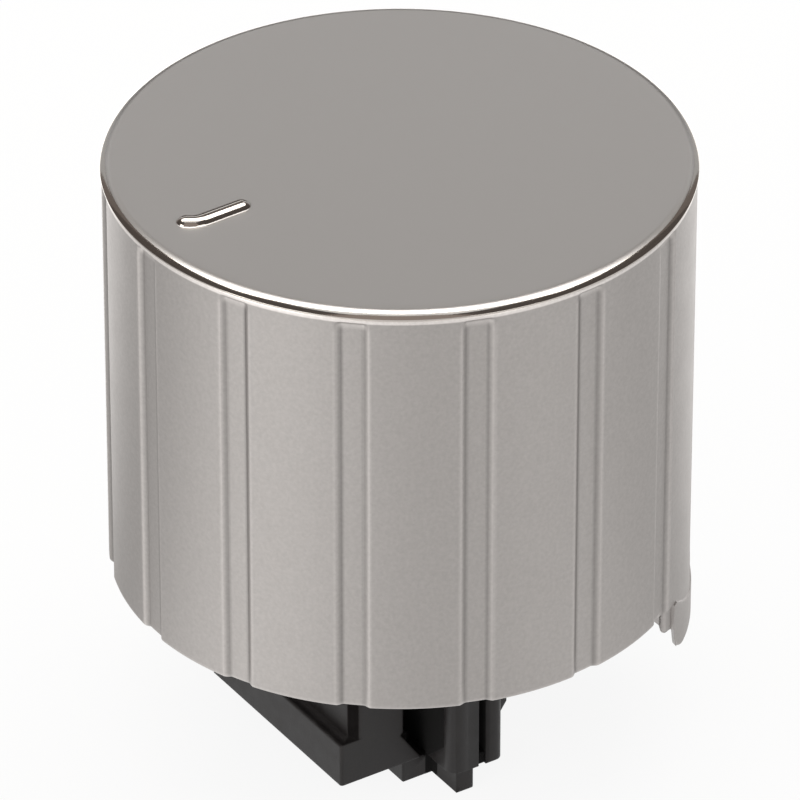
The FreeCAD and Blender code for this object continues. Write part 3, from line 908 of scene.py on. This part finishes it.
def painted_flute_light(tree):
    """Level of the coat with painted light: painted highlights on the flutes' shoulders, rim and tops,
    painted shade in their corners.
    """
    x, y, z = object_axes(tree)
    turn = math_node(tree, "ADD", math_node(tree, "ARCTAN2", y, x), math.pi / 2)
    pitch = 2 * math.pi / FLUTE_COUNT
    near = math_node(tree, "WRAP", turn, pitch / 2, -pitch / 2)
    off = math_node(tree, "MULTIPLY", math_node(tree, "ABSOLUTE", near), SKIRT_RADIUS)
    squares = [math_node(tree, "MULTIPLY", axis, axis) for axis in (x, y)]
    radius = math_node(tree, "SQRT", math_node(tree, "ADD", *squares))
    outside = step_at(tree, radius, 0, 1, OUTSIDE)

    # Painted highlight on each flute's shoulders and painted shade in its hollow corners
    light = line_at(tree, off, FLUTE_PAINTED_HIGHLIGHT_PLACE, FLUTE_PAINTED_HIGHLIGHT_HALF)
    dark = line_at(tree, off, FLUTE_PAINTED_SHADE_PLACE, FLUTE_PAINTED_SHADE_HALF)
    lines = math_node(tree, "SUBTRACT", math_node(tree, "MULTIPLY", light, FLUTE_PAINTED_HIGHLIGHT),
                      math_node(tree, "MULTIPLY", dark, FLUTE_PAINTED_SHADE))
    shown = chained(tree, "MULTIPLY", step_at(tree, z, 1, 0, FLUTE_LINES_TOP),
                    step_at(tree, z, 0, 1, FLUTE_LINES_FOOT), outside)
    lines = math_node(tree, "MULTIPLY", lines, shown)

    # Painted highlights on the rim away from the lug, under each flute's top and on the skirt's shoulder
    from_lug = turn_from(tree, turn, math.pi / 2 + math.radians(LUG_ANGLE))
    reach = lug_reach(ROOT_FACE, ROOT_OUTER) / SKIRT_RADIUS
    rim = chained(tree, "MULTIPLY", outside, line_at(tree, z, RIM_PAINTED_HIGHLIGHT_Z * MM, ACROSS_HALF * MM),
                  spread(tree, from_lug, 0, 1, reach - ROOT_FADE, reach), RIM_PAINTED_HIGHLIGHT)
    arch = chained(tree, "MULTIPLY", line_at(tree, z, ARCH_PAINTED_HIGHLIGHT_Z * MM, ACROSS_HALF * MM),
                   spread(tree, off, 1, 0, FLUTE_FLOOR, FLUTE_MOUTH), outside, ARCH_PAINTED_HIGHLIGHT)
    shoulder = step_at(tree, z, 0, SHOULDER_PAINTED_HIGHLIGHT, SHOULDER_PAINTED_HIGHLIGHT_LINE)
    return chained(tree, "ADD", lines, rim, arch, shoulder, 1.0)


def silver_coat():
    """Satin metallic coat on the skirt: fine mottled grain, with lines of painted highlight and painted
    shade along the flutes.
    """
    material, tree, shader = new_material("silver_coat")
    grain = noise(tree, COAT_GRAIN, detail=3.0, roughness=0.6)
    colour = blended(tree, spread(tree, grain, 0, 1), COAT_DARK, COAT_LIGHT)
    # The coat's colour is scaled by the painted highlights and painted shade along the flutes
    tree.links.new(scaled(tree, colour, painted_flute_light(tree)), shader.inputs["Base Color"])
    cloud = noise(tree, COAT_CLOUD, detail=3.0)
    tree.links.new(spread(tree, cloud, *COAT_ROUGHNESS), shader.inputs["Roughness"])
    shader.inputs["Metallic"].default_value = 1.0
    scale, depth = COAT_RELIEF
    bump(tree, shader, noise(tree, scale), depth)
    return material


def satin_metal():
    """Satin face with a polished edge and pointer."""
    material, tree, shader = new_material("satin_metal")
    z = object_axes(tree)[2]
    polished = math_node(tree, "MAXIMUM", step_at(tree, z, 1, 0, POLISHED_DROP),
                         step_at(tree, z, 0, 1, POLISHED_RISE))
    tree.links.new(blended(tree, polished, FACE_COLOUR, EDGE_COLOUR), shader.inputs["Base Color"])
    level = tree.nodes.new("ShaderNodeMix")
    tree.links.new(polished, level.inputs["Factor"])
    cloud = noise(tree, FACE_CLOUD, detail=3.0)
    tree.links.new(spread(tree, cloud, *FACE_ROUGHNESS), level.inputs[2])
    level.inputs[3].default_value = EDGE_ROUGHNESS
    tree.links.new(level.outputs[0], shader.inputs["Roughness"])
    shader.inputs["Metallic"].default_value = 1.0
    scale, depth = FACE_RELIEF
    bump(tree, shader, noise(tree, scale, detail=3.0), depth)
    return material


def black_plastic():
    """Dull moulded black with a fine spark-eroded texture; painted shade darkens the recesses, which are
    also duller.
    """
    material, tree, shader = new_material("black_plastic")
    cloud = noise(tree, BLACK_CLOUD, detail=3.0)
    colour = blended(tree, spread(tree, cloud, 0, 1), BLACK_DARK, BLACK_LIGHT)
    # Painted shade darkens the colour in the recesses, which are also made duller
    shaded_recess = painted_shade_share(tree)
    shade = spread(tree, shaded_recess, 1, PAINTED_SHADE_LEVEL, 0, 1)
    tree.links.new(scaled(tree, colour, shade), shader.inputs["Base Color"])
    dull = math_node(tree, "MAXIMUM", spread(tree, cloud, *BLACK_ROUGHNESS), shaded_recess)
    tree.links.new(dull, shader.inputs["Roughness"])
    shader.inputs["Specular IOR Level"].default_value = BLACK_SPECULAR
    scale, depth = BLACK_RELIEF
    bump(tree, shader, noise(tree, scale), depth, CORE_ROUND * MM)
    return material


def rolled_steel():
    """Strip steel with a fine mottle."""
    material, tree, shader = new_material("rolled_steel")
    streak = noise(tree, STEEL_STREAK)
    tree.links.new(blended(tree, streak, STEEL_DARK, STEEL_LIGHT), shader.inputs["Base Color"])
    tree.links.new(spread(tree, streak, *STEEL_ROUGHNESS), shader.inputs["Roughness"])
    shader.inputs["Metallic"].default_value = 1.0
    return material


# Stage

def studio_material(name):
    """Material with an empty node tree, and that tree."""
    material = bpy.data.materials.new(name)
    material.use_nodes = True
    material.node_tree.nodes.clear()
    return material, material.node_tree


def show(tree, surface):
    """Makes a shader the material's surface."""
    out = tree.nodes.new("ShaderNodeOutputMaterial")
    tree.links.new(surface, out.inputs["Surface"])


def seen_share(tree):
    """1 for rays from the camera, for mirror rays and for rays through glass."""
    path = tree.nodes.new("ShaderNodeLightPath")
    kinds = ("Is Camera Ray", "Is Glossy Ray", "Is Transmission Ray")
    return chained(tree, "MAXIMUM", *(path.outputs[kind] for kind in kinds))


def make_world():
    """White for the camera and in reflections, a plain soft grey as a light."""
    world = bpy.data.worlds.new("studio")
    bpy.context.scene.world = world
    world.use_nodes = True
    tree = world.node_tree
    background = tree.nodes["Background"]
    background.inputs["Color"].default_value = (*WHITE, 1)
    tree.links.new(spread(tree, seen_share(tree), WORLD_LIGHT, 1.0, 0, 1), background.inputs["Strength"])


def make_floor():
    """Pale floor: white where nothing shades it, with the object's shadow."""
    floor = mesh_object("floor", circle(FLOOR_REACH, FLOOR_SIDES), [tuple(range(FLOOR_SIDES))])
    material, tree = studio_material("floor_white")
    paper = tree.nodes.new("ShaderNodeBsdfDiffuse")
    paper.inputs["Color"].default_value = (FLOOR_GREY, FLOOR_GREY, FLOOR_GREY, 1)
    mixed = tree.nodes.new("ShaderNodeMixShader")
    tree.links.new(spread(tree, seen_share(tree), 0.0, FLOOR_WHITE, 0, 1), mixed.inputs["Fac"])
    tree.links.new(paper.outputs["BSDF"], mixed.inputs[1])
    tree.links.new(emission(tree, WHITE, 1.0), mixed.inputs[2])
    show(tree, mixed.outputs["Shader"])
    wear(floor, material)


def direction(turn, elevation):
    """Unit vector; turn is the angle from the camera's side, positive to the right in the picture."""
    angle = math.radians(CAMERA_AZIMUTH - 90 + turn)
    up = math.radians(elevation)
    return Vector((math.cos(up) * math.cos(angle), math.cos(up) * math.sin(angle), math.sin(up)))


def mirror_only(card):
    """Hides a card from all rays but mirror rays."""
    card.visible_camera = False
    card.visible_diffuse = False
    card.visible_shadow = False
    card.visible_transmission = False


def studio_card(name, turns, elevations, level, distance):
    """Part of a dome that only mirror rays meet: a studio's dark card or its ceiling."""
    points = []
    for i in range(CARD_STEPS + 1):
        turn = turns[0] + (turns[1] - turns[0]) * i / CARD_STEPS
        for k in range(CARD_STEPS + 1):
            elevation = elevations[0] + (elevations[1] - elevations[0]) * k / CARD_STEPS
            points.append(tuple(direction(turn, elevation) * distance))
    faces = []
    for i in range(CARD_STEPS):
        for k in range(CARD_STEPS):
            corner = i * (CARD_STEPS + 1) + k
            faces.append((corner, corner + 1, corner + CARD_STEPS + 2, corner + CARD_STEPS + 1))
    card = mesh_object(name, points, faces)
    material, tree = studio_material(name)
    colour = DARK_CARD_COLOUR if level < DARK_CARD_LEVEL else WHITE
    show(tree, emission(tree, colour, level))
    wear(card, material)
    mirror_only(card)


def floor_sheen():
    """Ring on the floor that only mirror rays meet: its level changes round the knob as on a lit table."""
    inner, outer = (circle(radius, FLOOR_SIDES, SHEEN_Z) for radius in SHEEN_RING)
    ring = mesh_object("floor_sheen", inner + outer, band(FLOOR_SIDES))
    material, tree = studio_material("floor_sheen")
    x, y, _ = object_axes(tree)
    turn = math_node(tree, "SUBTRACT", math_node(tree, "ARCTAN2", y, x), math.radians(CAMERA_AZIMUTH - 90))
    turn = math_node(tree, "WRAP", turn, math.pi, -math.pi)
    level = SHEEN_LEVEL
    for middle, half_width, change in SHEEN:
        off = turn_from(tree, turn, math.radians(middle))
        part = spread(tree, off, change, 0, 0, math.radians(half_width), smooth=True)
        level = math_node(tree, "ADD", level, part)
    show(tree, emission(tree, SHEEN_COLOUR, level))
    wear(ring, material)
    mirror_only(ring)


def softbox(name, turn, elevation, distance, size, radiance):
    """Rectangular lamp that looks at the knob's middle."""
    lamp = bpy.data.lights.new(name, "AREA")
    lamp.shape = "RECTANGLE"
    lamp.size, lamp.size_y = size[0] * MM, size[1] * MM
    lamp.energy = radiance * math.pi * lamp.size * lamp.size_y
    lamp.color = LAMP_COLOUR
    made = bpy.data.objects.new(name, lamp)
    bpy.context.scene.collection.objects.link(made)
    middle = Vector((0, 0, LAMP_AIM_Z)) * MM
    made.location = middle + direction(turn, elevation) * distance * MM
    made.rotation_euler = (middle - made.location).to_track_quat("-Z", "Y").to_euler()


def make_camera():
    """Camera on the photograph's side, with its long lens."""
    camera = bpy.data.cameras.new("camera")
    camera.lens = CAMERA_LENS
    camera.sensor_width = CAMERA_SENSOR
    made = bpy.data.objects.new("camera", camera)
    bpy.context.scene.collection.objects.link(made)
    middle = Vector((0, 0, CAMERA_MIDDLE_Z))
    made.location = (middle + direction(0, CAMERA_ELEVATION) * CAMERA_DISTANCE) * MM
    aim = (Vector((0, 0, AIM_Z)) + direction(90, 0) * AIM_RIGHT) * MM
    made.rotation_euler = (aim - made.location).to_track_quat("-Z", "Y").to_euler()
    camera.clip_start = CLIP_START
    camera.clip_end = CLIP_END
    bpy.context.scene.camera = made


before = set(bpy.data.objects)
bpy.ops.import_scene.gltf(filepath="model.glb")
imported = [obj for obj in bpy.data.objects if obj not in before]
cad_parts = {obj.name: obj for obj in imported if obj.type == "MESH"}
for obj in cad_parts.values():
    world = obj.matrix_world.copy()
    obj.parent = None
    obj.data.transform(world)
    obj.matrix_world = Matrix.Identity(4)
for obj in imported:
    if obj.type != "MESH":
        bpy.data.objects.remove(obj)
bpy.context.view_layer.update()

make_camera()
make_world()
make_floor()
for card in CARDS:
    studio_card(*card)
floor_sheen()
for lamp in LAMPS:
    softbox(*lamp)

skirt = make_skirt()
wear(skirt, silver_coat())
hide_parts("skirt")
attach(skirt, "root")

cap = make_cap()
wear(cap, satin_metal())
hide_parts("face_cap")
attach(cap, "root")

core = make_core(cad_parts["core"])
wear(core, black_plastic())
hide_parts("core")
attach(core, "root")

wear(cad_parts["shaft_spring"], rolled_steel())

bpy.context.scene.view_settings.view_transform = "Standard"
